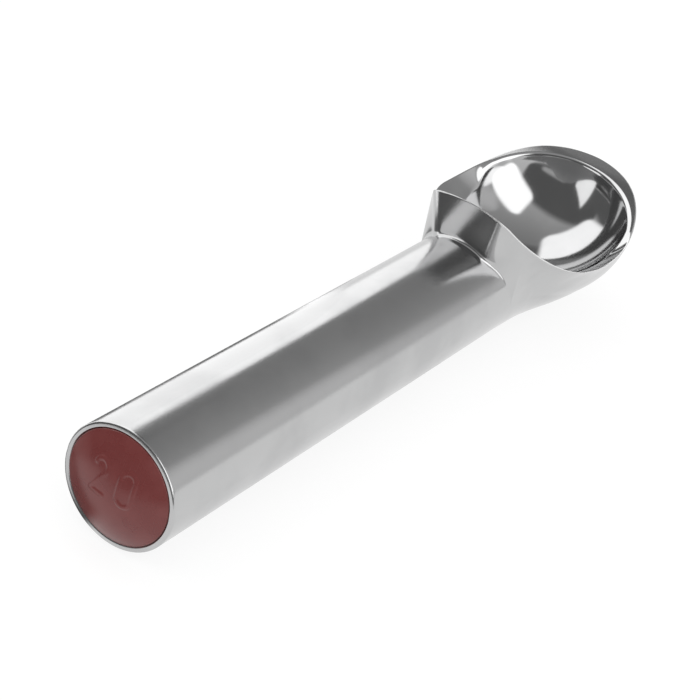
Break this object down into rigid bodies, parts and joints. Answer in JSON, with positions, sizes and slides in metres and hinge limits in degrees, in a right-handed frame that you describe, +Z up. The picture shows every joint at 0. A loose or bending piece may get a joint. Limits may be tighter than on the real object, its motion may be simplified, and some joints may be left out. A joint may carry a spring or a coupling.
{
  "type": "ice cream dipper",
  "caption": "One-piece cast dipper with a round bowl, a hollow round handle that holds a warming liquid, and a domed end cap; it has no lever.",
  "frame": {"origin": "centre of the handle's butt face, on the handle's axis", "axes": "+X along the handle towards the bowl's tip, +Z up out of the bowl's mouth, Y across the bowl"},
  "size_m": [0.1875, 0.0466, 0.039],
  "materials": {
    "polished_aluminium": "polished, with a faint lengthwise grain on the handle",
    "heat_fluid": "clear liquid",
    "turned_aluminium": "turned",
    "seal_rubber": "matt",
    "cap_plastic": "moulded, half gloss"
  },
  "bodies": {
    "root": {"dipper_body": "polished_aluminium", "heat_fluid": "heat_fluid", "seal_plug": "turned_aluminium", "plug_o_ring": "seal_rubber", "end_cap": "cap_plastic"}
  },
  "joints": []
}
